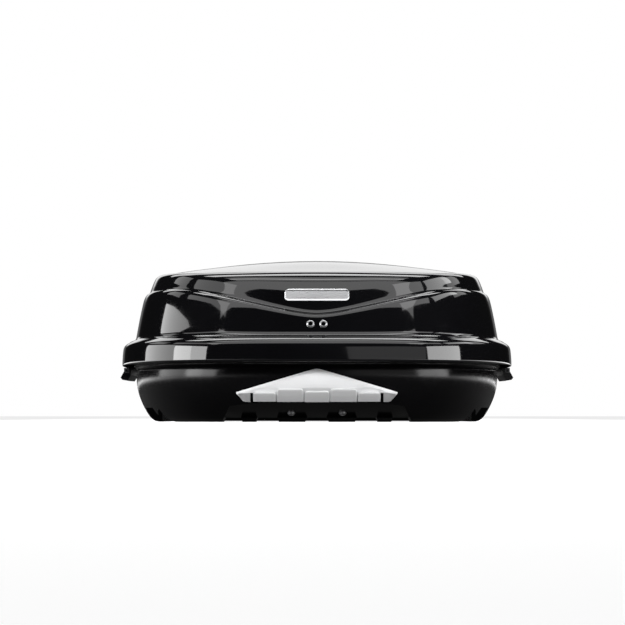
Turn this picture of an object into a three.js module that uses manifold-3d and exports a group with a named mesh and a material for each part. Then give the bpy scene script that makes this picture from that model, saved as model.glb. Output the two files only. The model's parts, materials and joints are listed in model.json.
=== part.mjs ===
// Hard-shell roof cargo box that opens from either side, with claw clamps for two load bars.
// Millimetres. +Z up, +Y towards the nose, +X to the right. The origin is under the middle of the box,
// on the surface that it stands on.
//
// base    floor shell, edge seal, diffuser, steel floor rails, latch posts, lifter brackets, clamps
// lifter  two cross arms, hinged to the base along the left axis and to the lid along the right axis,
//         so the lid can swing about either side
// lid     glossy shell with its overhanging rim, rod guides, handle brackets, badge plate
// The latch rods, pull handles and lock barrels move on the lid.
import * as THREE from "three";
import { mergeVertices } from "three/addons/utils/BufferGeometryUtils.js";
import Module from "manifold-3d";

const wasm = await Module();
wasm.setup();

// ---------------------------------------------------------------- driving dimensions
const RIM_HALF_WIDTH = 447; // widest point of the lid's rim
const REAR_REACH = 1000; // from the widest point back to the tail
const FRONT_REACH = 920; // from the widest point on to the nose
const WIDEST_Y = 40;
const REAR_SQUARENESS = 3.5; // superellipse exponents: a square tail and a rounder nose
const FRONT_SQUARENESS = 2.5;
const OUTLINE_STEPS = 48;
const FIT = 0.3; // air between pieces that touch
const SKIN = 4; // thickness of the formed plastic shells

const RIM_BOTTOM_Z = 125;
const BASE_INSET = 34; // the base's wall stands this far inside the rim
const BASE_EDGE_Z = 132; // top of the base's lip, inside the rim
const LIP_INSET = 28;
const BASE_FRONT_SLOPE = 3.2; // insets grow this much faster towards the nose
const LID_FRONT_SLOPE = 2.4;
const NOSE_LIFT = 60; // the floor sweeps up this far under the nose
const NOSE_LIFT_TOP_Z = 108; // the wall above this height is level
const WALL_FOOT_Z = 190; // the lid's wall rises from here, leaning in by WALL_DRAFT
const WALL_DRAFT = 0.18;

const TAIL_FLOOR_Z = 16; // inner floor at the tail and under the nose
const TUNNEL_Z = 31; // underside of the floor over the load bars
const TUNNEL_REAR_Y = -690;
const TUNNEL_FRONT_Y = 370;
const TUNNEL_LEAN = 22;
const TUNNEL_HALF = 345; // outside this the tub reaches down again, except in the slots for the load bars
const BAR_SLOT = 75; // half the length of a slot
const RUNNER_Z = 27; // the ribs that lie on the load bars
const RUNNER_X = 210;
const RUNNER_WIDTH = 30;

const HINGE_X = 400; // both hinge axes run along Y at this distance from the middle
const HINGE_Z = 152;
const PIN_RADIUS = 4;
const BORE_RADIUS = 4.5;
const LATCHES = { rear: -420, middle: -60, front: 300 };
const LATCH_ROD = { half: 4, z0: 166, z1: 172 }; // a square bar over the hinge axis
const POST_PIN = [-1, 22]; // a post's pin runs this far from the post along Y
const ROD_GUIDES = { rear: -250, front: 130 };
const LIFTER_ARMS = { rear: -520, front: 400 };

const HANDLE_Y = -60;
const HANDLE_HALF = 129;
const HANDLE_PIVOT = [444, 118];
const LOCK_Z = 138;
const LOCK_RADIUS = 9;
const POCKET = { half: 146, x: 390, z0: 62, z1: 116 }; // hand recess in the base's wall

const CLAMP_X = 300;
const CLAMPS = { rear: -560, front: 240 }; // y of the load bars
const SPINDLE_RADIUS = 4;

// ---------------------------------------------------------------- materials
function plastic(color, roughness) {
  return new THREE.MeshStandardMaterial({ color, roughness, metalness: 0 });
}

function metal(color, roughness) {
  return new THREE.MeshStandardMaterial({ color, roughness, metalness: 1 });
}

const glossBlack = () => plastic(0x08080a, 0.06);
const satinBlack = () => plastic(0x121214, 0.35);
const matteBlack = () => plastic(0x1a1a1c, 0.6);
const silverPaint = () => plastic(0xd6d7d9, 0.35);
const rubber = () => plastic(0x101010, 0.85);
const zinc = () => metal(0xa8abae, 0.4);
const chrome = () => metal(0xd9dbdd, 0.15);

// ---------------------------------------------------------------- solids
function toSolid(geometry) {
  const bare = geometry.clone();
  bare.deleteAttribute("normal");
  bare.deleteAttribute("uv");
  const merged = mergeVertices(bare, 1e-3);
  return new wasm.Manifold(
    new wasm.Mesh({
      numProp: 3,
      vertProperties: new Float32Array(merged.attributes.position.array),
      triVerts: new Uint32Array(merged.index.array),
    }),
  );
}

function toGeometry(solid) {
  const mesh = solid.getMesh();
  return new THREE.BufferGeometry()
    .setAttribute("position", new THREE.BufferAttribute(mesh.vertProperties, 3))
    .setIndex(new THREE.BufferAttribute(mesh.triVerts, 1));
}

function joined(...geometries) {
  return toGeometry(geometries.map(toSolid).reduce((whole, piece) => whole.add(piece)));
}

function cut(geometry, ...tools) {
  return toGeometry(tools.map(toSolid).reduce((left, tool) => left.subtract(tool), toSolid(geometry)));
}

function common(first, second) {
  return toGeometry(toSolid(first).intersect(toSolid(second)));
}

// A copy on the other side of the box.
function mirrored(geometry) {
  return toGeometry(toSolid(geometry).mirror([1, 0, 0]));
}

// A box between two corners.
function block([x0, y0, z0], [x1, y1, z1]) {
  const made = new THREE.BoxGeometry(x1 - x0, y1 - y0, z1 - z0);
  return made.translate((x0 + x1) / 2, (y0 + y1) / 2, (z0 + z1) / 2);
}

// Round bars along X, Y and Z.
function barX(radius, y, z, x0, x1, sides = 16) {
  const made = new THREE.CylinderGeometry(radius, radius, x1 - x0, sides).rotateZ(Math.PI / 2);
  return made.translate((x0 + x1) / 2, y, z);
}

function barY(radius, x, z, y0, y1, sides = 12) {
  return new THREE.CylinderGeometry(radius, radius, y1 - y0, sides).translate(x, (y0 + y1) / 2, z);
}

function barZ(radius, x, y, z0, z1, sides = 16) {
  const made = new THREE.CylinderGeometry(radius, radius, z1 - z0, sides).rotateX(Math.PI / 2);
  return made.translate(x, y, (z0 + z1) / 2);
}

function extruded(points, depth) {
  const shape = new THREE.Shape(points.map(([u, v]) => new THREE.Vector2(u, v)));
  return new THREE.ExtrudeGeometry(shape, { depth, bevelEnabled: false });
}

// An outline in X and Z, carried along Y.
function prismY(points, y0, y1) {
  return extruded(points, y1 - y0).rotateX(Math.PI / 2).translate(0, y1, 0);
}

// An outline in Y and Z, carried along X.
function prismX(points, x0, x1) {
  return extruded(points, x1 - x0).rotateX(Math.PI / 2).rotateZ(Math.PI / 2).translate(x0, 0, 0);
}

// Joins rings of points into one closed surface, from the first ring up to the last one.
function loft(rings) {
  const count = rings[0].length;
  const index = [];
  for (let r = 0; r + 1 < rings.length; r++)
    for (let i = 0; i < count; i++) {
      const a = r * count + i;
      const b = r * count + ((i + 1) % count);
      index.push(a, b, b + count, a, b + count, a + count);
    }
  const merged = mergeVertices(new THREE.BufferGeometry().setFromPoints(rings.flat()).setIndex(index), 1e-3);
  const old = merged.index.array;
  const kept = [];
  for (let i = 0; i < old.length; i += 3) {
    const [a, b, c] = [old[i], old[i + 1], old[i + 2]];
    if (a !== b && b !== c && a !== c) kept.push(a, b, c);
  }
  return merged.setIndex(kept);
}

// ---------------------------------------------------------------- the box's form
// A smooth curve through [y, value] stations.
function along(stations) {
  const slope = (i) => {
    const before = stations[Math.max(i - 1, 0)];
    const after = stations[Math.min(i + 1, stations.length - 1)];
    return (after[1] - before[1]) / (after[0] - before[0]);
  };
  return (y) => {
    const held = THREE.MathUtils.clamp(y, stations[0][0], stations.at(-1)[0]);
    const i = Math.max(0, stations.findIndex(([at]) => held <= at) - 1);
    const [[y0, v0], [y1, v1]] = [stations[i], stations[i + 1]];
    const span = y1 - y0;
    const t = (held - y0) / span;
    const turn = t * t * (3 - 2 * t);
    return v0 + turn * (v1 - v0) + span * t * (1 - t) * ((1 - t) * slope(i) - t * slope(i + 1));
  };
}

const shoulderZ = along([[-960, 284], [-460, 286], [40, 284], [500, 256], [960, 202]]);
const roofEdgeZ = along([[-960, 313], [-460, 331], [40, 339], [500, 308], [960, 226]]);
const roofRise = along([[-960, 3], [-460, 30], [40, 44], [500, 36], [960, 6]]);

// The shoulder's crease dips to a soft V in the middle of the tail.
const CREASE = { foot: 213, round: 11, slope: 0.25, ease: 8 };

function shoulder(x, y) {
  const side = shoulderZ(y);
  if (y > WIDEST_Y) return side;
  const valley = CREASE.foot + Math.hypot(CREASE.round, CREASE.slope * x);
  const gap = side - valley;
  return (side + valley - Math.hypot(gap, CREASE.ease)) / 2;
}

// The squareness and the reach of the outline's rear or front half, this far inside the rim.
function halfPlan(rear, inset, frontSlope) {
  if (rear) return [REAR_SQUARENESS, REAR_REACH - inset];
  return [FRONT_SQUARENESS, FRONT_REACH - inset - Math.max(0, inset - BASE_INSET) * (frontSlope - 1)];
}

// The point of the plan outline at an angle.
function planPoint(angle, inset, frontSlope) {
  const [c, s] = [Math.cos(angle), Math.sin(angle)];
  const [n, reach] = halfPlan(s < 0, inset, frontSlope);
  const r = (Math.abs(c) ** n + Math.abs(s) ** n) ** (-1 / n);
  return [(RIM_HALF_WIDTH - inset) * c * r, WIDEST_Y + reach * s * r];
}

// Half the base's width at y.
function baseHalfWidth(y, inset) {
  const [n, reach] = halfPlan(y < WIDEST_Y, inset, BASE_FRONT_SLOPE);
  return (RIM_HALF_WIDTH - inset) * (1 - (Math.abs(y - WIDEST_Y) / reach) ** n) ** (1 / n);
}

const FORM_INSET = 60; // heights are read on this outline

function ring(insetAt, heightAt, frontSlope) {
  return Array.from({ length: OUTLINE_STEPS }, (_, i) => {
    const angle = (2 * Math.PI * (i + 0.5)) / OUTLINE_STEPS;
    const z = heightAt(...planPoint(angle, FORM_INSET, frontSlope));
    const [x, y] = planPoint(angle, insetAt(z), frontSlope);
    return new THREE.Vector3(x, y, z);
  });
}

// Rings that shrink from an edge ring down to the centre line, where share is 0.
const SPINE_SHARE = 0.65;

function inward(edge, shares, heightAt) {
  return shares.map((share) =>
    edge.map((p) => {
      const y = WIDEST_Y + (p.y - WIDEST_Y) * (SPINE_SHARE + (1 - SPINE_SHARE) * share);
      return new THREE.Vector3(p.x * share || 0, y, heightAt(y, share, p.z));
    }),
  );
}

const flat = (y, share, z) => z;
const level = (z) => () => z;
const ROOF_SHARES = [0.86, 0.6, 0.3, 0];

// ---------------------------------------------------------------- lid
const RIM_FOOT = [0, RIM_BOTTOM_Z];
const RIM_PROFILE = [RIM_FOOT, [0, 136], [2, 151], [6, 162], [11, 170], [19, 178], [30, 183], [35, 188]];
const RIM_INNER = [[4, RIM_BOTTOM_Z], [4, 142], [8, 157], [16, 170], [30, 178.5], [39.5, 187]];
const EDGE_INSET = 69;

function lidRings(rim, wall, grow) {
  const rimRings = rim.map(([inset, z]) => ring(() => inset - grow, level(z), LID_FRONT_SLOPE));
  const wallRings = wall.map(([offset, heightAt]) =>
    ring((z) => offset - grow + WALL_DRAFT * (z - WALL_FOOT_Z), heightAt, LID_FRONT_SLOPE),
  );
  return [...rimRings, ...wallRings];
}

function roofRings(edge, drop) {
  return inward(edge, ROOF_SHARES, (y, share) => roofEdgeZ(y) + roofRise(y) * (1 - share ** 2) - drop);
}

function lidOutside(grow = 0, foot = RIM_PROFILE) {
  const wall = [
    [37, (x, y) => shoulder(x, y) - 12],
    [41, (x, y) => shoulder(x, y) - 3],
    [49, (x, y) => shoulder(x, y) + 2],
    [53, (x, y) => shoulder(x, y) + 8],
    [56, (x, y) => roofEdgeZ(y) - 12],
    [61, (x, y) => roofEdgeZ(y) - 3],
    [EDGE_INSET, (x, y) => roofEdgeZ(y) + 1],
  ];
  const rings = lidRings(foot, wall, grow);
  return [...rings, ...roofRings(rings.at(-1), -grow)];
}

function lidInside(gap = 0) {
  const wall = [
    [41.5, (x, y) => shoulder(x, y) - 13],
    [57, (x, y) => shoulder(x, y) + 5],
    [61, (x, y) => roofEdgeZ(y) - 13],
    [EDGE_INSET + 3, (x, y) => roofEdgeZ(y) - 4],
  ];
  const rings = lidRings(RIM_INNER, wall, -gap);
  return [...rings, ...roofRings(rings.at(-1), SKIN + gap)];
}

// The room inside the lid, this far from its skin.
function lidRoom(gap) {
  const rings = lidInside(gap);
  return loft([...inward(rings[0], [0], flat), ...rings]);
}

function lidShell() {
  const whole = loft([...lidInside().reverse(), ...lidOutside()]);
  const holes = lidScrewShanks(SCREW.shank + FIT);
  return cut(whole, lockBore(FIT), mirrored(lockBore(FIT)), ...holes);
}

function lockBore(gap) {
  return barX(LOCK_RADIUS + gap, HANDLE_Y, LOCK_Z, 430, 460, 20);
}

// Button-head screws with a hexagon socket. Depths are measured out of the face that the head lies on.
const SCREW = { head: 8.2, headFrom: 0.6, headTo: 4, socket: 3.4, socketFrom: 2.4, shank: 2.5, shankTo: 2 };
const SCREW_DEPTH = 10;
const LID_SCREW = { x: 13.5, z: 204, faceY: -922.5 };

function lidScrewShanks(radius) {
  const { x, z, faceY } = LID_SCREW;
  return [-x, x].map((at) => barY(radius, at, z, faceY - SCREW.headTo, faceY + SCREW_DEPTH + 2, 10));
}

function lidScrew(side) {
  const { x, z, faceY } = LID_SCREW;
  const cap = barY(SCREW.head, side * x, z, faceY - SCREW.headTo, faceY - SCREW.headFrom, 20);
  const socket = barY(SCREW.socket, side * x, z, faceY - SCREW.headTo - 1, faceY - SCREW.socketFrom, 6);
  const shank = barY(SCREW.shank, side * x, z, faceY - SCREW.shankTo, faceY + SCREW_DEPTH, 10);
  return joined(cut(cap, socket), shank);
}

const TAIL_SLAB = [-980, -860]; // the stretch of Y that holds the tail's face
const BADGE = { half: 62, z0: 255, z1: 277, bevel: 8, thick: 3 };

// A plate that follows the lid's tail: everything inside the outline from one skin offset to another.
function badgePlate() {
  const { half, z0, z1, bevel, thick } = BADGE;
  const outline = [
    [-half + bevel, z0],
    [half - bevel, z0],
    [half, z0 + bevel],
    [half, z1 - bevel],
    [half - bevel, z1],
    [-half + bevel, z1],
    [-half, z1 - bevel],
    [-half, z0 + bevel],
  ];
  const skin = (grow) => {
    const rings = lidOutside(grow, [RIM_FOOT]);
    return loft([...inward(rings[0], [0], flat), ...rings]);
  };
  return cut(common(prismY(outline, ...TAIL_SLAB), skin(thick)), skin(FIT));
}

// ---------------------------------------------------------------- base
const FLOOR_PROFILE = [[84, 0], [70, 7], [57, 25]];
const WALL_PROFILE = [[47, 42], [40, 60], [35, 85], [34, 103], [33, 109], [29, 116]];
const BASE_INNER = [[88, 0], [62, 25], [51, 43], [44, 61], [38, 86], [38, 108], [32, 120]];

function lifted(z, y) {
  const lift = NOSE_LIFT * THREE.MathUtils.smoothstep(y, 470, 1000);
  return z + lift * Math.max(0, 1 - z / NOSE_LIFT_TOP_Z);
}

function baseBody(profile, grow, topZ) {
  const rings = profile.map(([inset, z]) =>
    ring(() => inset - grow, (x, y) => lifted(z, y), BASE_FRONT_SLOPE),
  );
  const bottom = inward(rings[0], [0, 0.5], (y) => lifted(profile[0][1], y));
  return loft([...bottom, ...rings, ...inward(rings.at(-1), [0], level(topZ))]);
}

// The recess under the floor, and the slots through the tub's sides that the load bars cross.
function tunnel(topZ, spread) {
  const recess = (rear, front, half) => {
    const [y0, y1] = [rear - spread, front + spread];
    const outline = [[y0 - TUNNEL_LEAN, -9], [y1 + TUNNEL_LEAN, -9], [y1, topZ], [y0, topZ]];
    return prismX(outline, -half, half);
  };
  return joined(
    recess(TUNNEL_REAR_Y, TUNNEL_FRONT_Y, TUNNEL_HALF + spread),
    ...Object.values(CLAMPS).map((y) => recess(y - BAR_SLOT, y + BAR_SLOT, 470)),
  );
}

function pocket(thickness) {
  const { half, x, z0, z1 } = POCKET;
  const outline = [
    [x - thickness, z0 - thickness + 14],
    [x - thickness + 14, z0 - thickness],
    [470, z0 - thickness],
    [470, z1 + thickness],
    [x - thickness, z1 + thickness],
  ];
  return toGeometry(toSolid(prismY(outline, HANDLE_Y - half - thickness, HANDLE_Y + half + thickness)));
}

// The floor slopes up behind this line to the tail, clear of the ground, and narrows as it rises.
const RAMP = { half: 199, footY: -830, footZ: 9, backY: -1010, slope: 0.384, narrowing: 0.5 };

function ramp(raise, widen) {
  const { half, footY, footZ, backY, slope, narrowing } = RAMP;
  const topZ = footZ + raise + slope * (footY - backY);
  const side = [[backY, -5], [footY, -5], [footY, footZ + raise], [backY, topZ]];
  const [low, high] = [-5, topZ].map((z) => half + widen - narrowing * z);
  const rear = [[-low, -5], [low, -5], [high, topZ], [-high, topZ]];
  return common(prismX(side, -low, low), prismY(rear, backY, footY));
}

// Channels between the ribs under the tail: the half width at the top and at the bottom, and the middle.
const CHANNELS = [
  { x: 0, top: 20, bottom: 27 },
  { x: 105, top: 21, bottom: 26 },
  { x: 178, top: 18, bottom: 22 },
];

function channel(x, top, bottom) {
  const outline = [[x - bottom, -3], [x + bottom, -3], [x + top, RAMP.footZ], [x - top, RAMP.footZ]];
  return prismY(outline, RAMP.footY - 5, TUNNEL_REAR_Y + 5);
}

function baseRoom(gap) {
  const aboveZ = BASE_EDGE_Z + 20;
  const walls = BASE_INNER.map(([inset, z]) => [inset, Math.max(z, TAIL_FLOOR_Z + gap)]);
  const room = baseBody([...walls, [LIP_INSET + SKIN, aboveZ]], -gap, aboveZ);
  const tools = [tunnel(TUNNEL_Z + SKIN + gap, SKIN + gap), ramp(SKIN + 1 + gap, SKIN + gap)];
  return cut(room, ...tools, pocket(SKIN + gap), mirrored(pocket(SKIN + gap)));
}

function baseShell() {
  const lip = [[LIP_INSET, 121], [LIP_INSET, BASE_EDGE_Z]];
  const outside = baseBody([...FLOOR_PROFILE, ...WALL_PROFILE, ...lip], 0, BASE_EDGE_Z);
  const channels = CHANNELS.flatMap(({ x, top, bottom }) =>
    [...new Set([-x, x])].map((at) => channel(at, top, bottom)),
  );
  const runners = [-1, 1].map((side) => {
    const [x0, x1] = [side * RUNNER_X - RUNNER_WIDTH / 2, side * RUNNER_X + RUNNER_WIDTH / 2];
    return block([x0, TUNNEL_REAR_Y - 9, RUNNER_Z], [x1, TUNNEL_FRONT_Y + 9, TUNNEL_Z + 1]);
  });
  const bolts = clampSpots().map(([x, y]) => spindleHole(x, y));
  const hollow = cut(outside, tunnel(TUNNEL_Z, 0), ramp(0, 0), pocket(0), mirrored(pocket(0)), ...channels);
  const screws = diffuserShanks(SCREW.shank + FIT);
  return cut(joined(cut(hollow, baseRoom(0)), ...runners), ...bolts, ...screws);
}

function edgeSeal() {
  const [outer, inner, foot, top] = [LIP_INSET - 2, LIP_INSET + SKIN + 2, 122, BASE_EDGE_Z + 4];
  const [gapOuter, gapInner, gapTop] = [LIP_INSET - FIT, LIP_INSET + SKIN + FIT, BASE_EDGE_Z + FIT];
  const profile = [
    [outer, foot],
    [outer, top],
    [inner, top],
    [inner, foot],
    [gapInner, foot],
    [gapInner, gapTop],
    [gapOuter, gapTop],
    [gapOuter, foot],
  ];
  const rings = profile.map(([inset, z]) => ring(() => inset, level(z), BASE_FRONT_SLOPE));
  return loft([...rings, rings[0]]);
}

// ---------------------------------------------------------------- diffuser
const DIFFUSER = { apexZ: 111, endX: 168, endZ: 61, footX: 155, footZ: 43, plate: 6, blocks: 14 };
const DIFFUSER_BLOCKS = [
  { x0: -25.5, x1: 25.5, z: 64 },
  { x0: 28, x1: 83, z: 69 },
  { x0: 86, x1: 132, z: 61.5 },
];

function diffuserInsert() {
  const { apexZ, endX, endZ, footX, footZ, plate, blocks } = DIFFUSER;
  const outline = [[0, apexZ], [-endX, endZ], [-footX, footZ], [footX, footZ], [endX, endZ]];
  const skinFoot = [WALL_PROFILE[0][0], 30];
  const skin = (grow) => baseBody([skinFoot, ...WALL_PROFILE], grow, WALL_PROFILE.at(-1)[1]);
  const sheet = common(prismY(outline, ...TAIL_SLAB), skin(plate));
  const raised = DIFFUSER_BLOCKS.flatMap(({ x0, x1, z }) =>
    (x0 < 0 ? [[x0, x1]] : [[x0, x1], [-x1, -x0]]).map(([from, to]) => {
      const foot = [[from + 2, footZ], [to - 2, footZ]];
      const shape = [...foot, [to, z - 4], [to - 4, z], [from + 4, z], [from, z - 4]];
      return common(prismY(shape, ...TAIL_SLAB), skin(blocks));
    }),
  );
  return cut(joined(sheet, ...raised), skin(FIT));
}

const DIFFUSER_SCREW = { x: 54, y: -856 };

// A bar square to the ramp; heights are measured out of the ramp's face.
function onRamp(x, y, radius, from, to, sides) {
  const tilt = Math.atan(RAMP.slope);
  const z = RAMP.footZ + RAMP.slope * (RAMP.footY - y);
  const made = new THREE.CylinderGeometry(radius, radius, to - from, sides).rotateX(Math.PI / 2);
  return made.translate(0, 0, -(from + to) / 2).rotateX(-tilt).translate(x, y, z);
}

function diffuserShanks(radius) {
  const { x, y } = DIFFUSER_SCREW;
  return [-x, x].map((at) => onRamp(at, y, radius, -SCREW_DEPTH - 4, SCREW.headTo, 10));
}

function diffuserScrew(side) {
  const { x, y } = DIFFUSER_SCREW;
  const cap = onRamp(side * x, y, SCREW.head, FIT, SCREW.headTo, 20);
  const socket = onRamp(side * x, y, SCREW.socket, SCREW.socketFrom, SCREW.headTo + 1, 6);
  return joined(cut(cap, socket), onRamp(side * x, y, SCREW.shank, -SCREW_DEPTH, SCREW.shankTo, 10));
}

// ---------------------------------------------------------------- hinges and latches, right-hand side
// The foot's thickness, half length and height, and the cheek's half thickness and edge width.
const POST = { thick: 8, half: 22, z0: 84, z1: 114, cheek: 3, edge: 5 };

// A foot on the base's wall and a cheek that carries a pin on the hinge axis.
function pinPost(y, wallX) {
  const { thick, half, z0, z1, cheek, edge } = POST;
  const x0 = wallX - thick;
  const foot = common(block([x0, y - half, z0], [wallX + 30, y + half, z1]), baseRoom(FIT));
  const outline = [
    [x0, z0],
    [x0 + edge, z0],
    [x0 + edge, HINGE_Z - 22],
    [Math.max(x0 + edge, HINGE_X - 7), HINGE_Z - 14],
    [HINGE_X + 8, HINGE_Z - 6],
    [HINGE_X + 8, HINGE_Z + 5],
    [HINGE_X - 6, HINGE_Z + 8],
    [x0, HINGE_Z - 6],
  ];
  const pin = barY(PIN_RADIUS, HINGE_X, HINGE_Z, ...POST_PIN.map((at) => y + at));
  return joined(foot, prismY(outline, y - cheek, y + cheek), pin);
}

// The middle post stands on the hand recess's wall, the others on the base's own.
function latchPost(y) {
  return pinPost(y, y === LATCHES.middle ? POCKET.x - SKIN : baseHalfWidth(y, BASE_INSET + SKIN));
}

function lifterBaseBracket(armY) {
  const y = armY - 12;
  return pinPost(y, baseHalfWidth(y, BASE_INSET + SKIN));
}

// The bar that draws three eyes off their pins.
function latchRod() {
  const { half, z0, z1 } = LATCH_ROD;
  const rod = block([HINGE_X - half, LATCHES.rear - 16, z0], [HINGE_X + half, LATCHES.front + 40, z1]);
  const eyes = Object.values(LATCHES).flatMap((y) => [
    barY(11, HINGE_X, HINGE_Z, y + 6, y + 14, 16),
    block([HINGE_X - 5, y + 6, HINGE_Z + 5], [HINGE_X + 5, y + 14, z0 + 2]),
  ]);
  const bores = Object.values(LATCHES).map((y) => barY(BORE_RADIUS, HINGE_X, HINGE_Z, y, y + 20));
  return cut(joined(rod, ...eyes), ...bores);
}

function rodGuide(y) {
  const { half, z0, z1 } = LATCH_ROD;
  const body = common(block([HINGE_X - 11, y - 12, z0 - 5], [HINGE_X + 12, y + 12, z1 + 34]), lidRoom(FIT));
  const slot = block([HINGE_X - half - FIT, y - 20, z0 - FIT], [HINGE_X + half + FIT, y + 20, z1 + FIT]);
  return cut(body, slot);
}

// Hangs from the lid and carries the lifter's pin.
function lifterLidBracket(y) {
  const foot = common(block([HINGE_X - 20, y - 20, 163], [HINGE_X + 12, y - 8, 205]), lidRoom(FIT));
  const cheek = [[HINGE_X - 20, 168], [HINGE_X - 9, 146], [HINGE_X + 7, 144], [HINGE_X + 9, 168]];
  return joined(
    foot,
    prismY(cheek, y - 14, y - 8),
    barY(PIN_RADIUS, HINGE_X, HINGE_Z, y - 10, y + 10),
  );
}

function lifterArm(y) {
  const [y0, y1] = [y - 3, y + 3];
  const spine = [
    [-HINGE_X, HINGE_Z - 7],
    [-HINGE_X + 60, HINGE_Z - 9],
    [HINGE_X - 60, HINGE_Z - 9],
    [HINGE_X, HINGE_Z - 7],
    [HINGE_X, HINGE_Z + 7],
    [HINGE_X - 60, HINGE_Z + 9],
    [-HINGE_X + 60, HINGE_Z + 9],
    [-HINGE_X, HINGE_Z + 7],
  ];
  const eyes = [-HINGE_X, HINGE_X].map((x) => barY(10, x, HINGE_Z, y0, y1, 16));
  const bores = [-HINGE_X, HINGE_X].map((x) => barY(BORE_RADIUS, x, HINGE_Z, y0 - 1, y1 + 1));
  return cut(joined(prismY(spine, y0, y1), ...eyes), ...bores);
}

// ---------------------------------------------------------------- handle and lock, right-hand side
const HANDLE_PIN_RADIUS = 2.5;
const BRACKET = { x: 437.6, back: 4, ear: 11.9, earZ0: 113, earZ1: 136, earWideZ: 124.6, topZ: 152 };

function handleBracket() {
  const [pivotX, pivotZ] = HANDLE_PIVOT;
  const { x, back, ear, earZ0, earZ1, earWideZ, topZ } = BRACKET;
  const [near, far] = [HANDLE_HALF + 1.5, HANDLE_HALF + 7.5];
  const plate = block([x, HANDLE_Y - far, RIM_BOTTOM_Z + 0.5], [x + 12, HANDLE_Y + far, topZ]);
  const ears = [-1, 1].flatMap((end) => {
    const [y0, y1] = [HANDLE_Y + end * near, HANDLE_Y + end * far].sort((a, b) => a - b);
    return [block([x, y0, earZ0], [x + back, y1, earZ1]), block([x, y0, earZ0], [x + ear, y1, earWideZ])];
  });
  const body = joined(common(plate, lidRoom(FIT)), ...ears);
  const bore = barY(HANDLE_PIN_RADIUS + FIT, pivotX, pivotZ, HANDLE_Y - far - 9, HANDLE_Y + far + 9, 10);
  return cut(body, bore, lockBore(FIT));
}

const GRIP_OUTLINE = [[434, 124], [434, 108], [441, 96], [454, 97], [458, 102], [446, 124]];

function pullHandle() {
  const [pivotX, pivotZ] = HANDLE_PIVOT;
  const [y0, y1] = [HANDLE_Y - HANDLE_HALF, HANDLE_Y + HANDLE_HALF];
  return joined(prismY(GRIP_OUTLINE, y0, y1), barY(HANDLE_PIN_RADIUS, pivotX, pivotZ, y0 - 7, y1 + 7, 10));
}

function lockBarrel() {
  const barrel = barX(LOCK_RADIUS, HANDLE_Y, LOCK_Z, 438, 450, 20);
  const keyway = block([447, HANDLE_Y - 1, LOCK_Z - 4.5], [455, HANDLE_Y + 1, LOCK_Z + 4.5]);
  return cut(barrel, keyway);
}

// ---------------------------------------------------------------- floor rails and clamps
function clampSpots() {
  return [-CLAMP_X, CLAMP_X].flatMap((x) => Object.values(CLAMPS).map((y) => [x, y]));
}

// The room for a clamp's spindle through the floor, the rail, the housing and the claws.
function spindleHole(x, y) {
  return barZ(SPINDLE_RADIUS + 0.6, x, y, 10, 90, 12);
}

const RAIL = { half: 26, y0: -630, y1: 310, flange: 3, rise: 6 };
const RAIL_TOP_Z = TUNNEL_Z + SKIN + 3;

function floorRail(x) {
  const { half, y0, y1, flange, rise } = RAIL;
  const z0 = TUNNEL_Z + SKIN + FIT;
  const strip = block([x - half, y0, z0], [x + half, y1, RAIL_TOP_Z]);
  const flanges = [x - half, x + half - flange].map((at) =>
    block([at, y0, z0], [at + flange, y1, RAIL_TOP_Z + rise]),
  );
  return cut(joined(strip, ...flanges), ...Object.values(CLAMPS).map((y) => spindleHole(x, y)));
}

const HOUSING = { half: 20, topHalf: 14, halfLength: 32, shoulder: 14, top: 20, collar: 14, collarTop: 25 };

function clampHousing(x, y) {
  const { half, topHalf, halfLength, shoulder: bend, top, collar, collarTop } = HOUSING;
  const z0 = RAIL_TOP_Z + FIT;
  const side = [
    [x - half, z0],
    [x + half, z0],
    [x + half, z0 + bend],
    [x + topHalf, z0 + top],
    [x - topHalf, z0 + top],
    [x - half, z0 + bend],
  ];
  const neck = barZ(collar, x, y, z0 + bend, z0 + collarTop, 20);
  return cut(joined(prismY(side, y - halfLength, y + halfLength), neck), spindleHole(x, y));
}

const KNOB_Z = RAIL_TOP_Z + 26;
const KNOB = { radius: 21, lobe: 3.5, lobes: 5, steps: 30, height: 20, depth: 14 };

function clampKnob(x, y) {
  const { radius, lobe, lobes, steps, height, depth } = KNOB;
  const points = Array.from({ length: steps }, (_, i) => {
    const angle = (2 * Math.PI * i) / steps;
    const reach = radius + lobe * Math.cos(lobes * angle);
    return [reach * Math.cos(angle), reach * Math.sin(angle)];
  });
  const grip = extruded(points, height).translate(x, y, KNOB_Z);
  return cut(grip, barZ(SPINDLE_RADIUS + FIT, x, y, KNOB_Z - 5, KNOB_Z + depth, 12));
}

function clampSpindle(x, y) {
  return barZ(SPINDLE_RADIUS, x, y, RUNNER_Z + 1, KNOB_Z + KNOB.depth - 1, 12);
}

// Claws reach down past the load bar. z0 is the tip, z1 the top of the plate under the floor.
const CLAW = {
  reach: 50,
  back: 22,
  leg: 5,
  hook: 12,
  lip: 4,
  half: 20,
  spine: 11,
  plate: 3,
  z0: 4,
  z1: TUNNEL_Z - FIT,
};

function fixedClaw(x, y) {
  const { reach, back, leg, hook, lip, half, spine, plate, z0, z1 } = CLAW;
  const body = joined(
    block([x - spine, y - reach, z1 - plate], [x + spine, y + back, z1]),
    block([x - half, y - reach, z0], [x + half, y - reach + leg, z1]),
    block([x - half, y - reach, z0], [x + half, y - reach + hook, z0 + lip]),
  );
  return cut(body, spindleHole(x, y));
}

function movingClaw(x, y) {
  const { reach, back, leg, hook, lip, half, spine, plate, z0, z1 } = CLAW;
  const fingers = [[x - half, x - spine - 1], [x + spine + 1, x + half]];
  return joined(
    ...fingers.map(([x0, x1]) => block([x0, y - back, z1 - plate], [x1, y + reach, z1])),
    block([x - half, y + reach - leg, z0], [x + half, y + reach, z1]),
    block([x - half, y + reach - hook, z0], [x + half, y + reach, z0 + lip]),
  );
}

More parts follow.
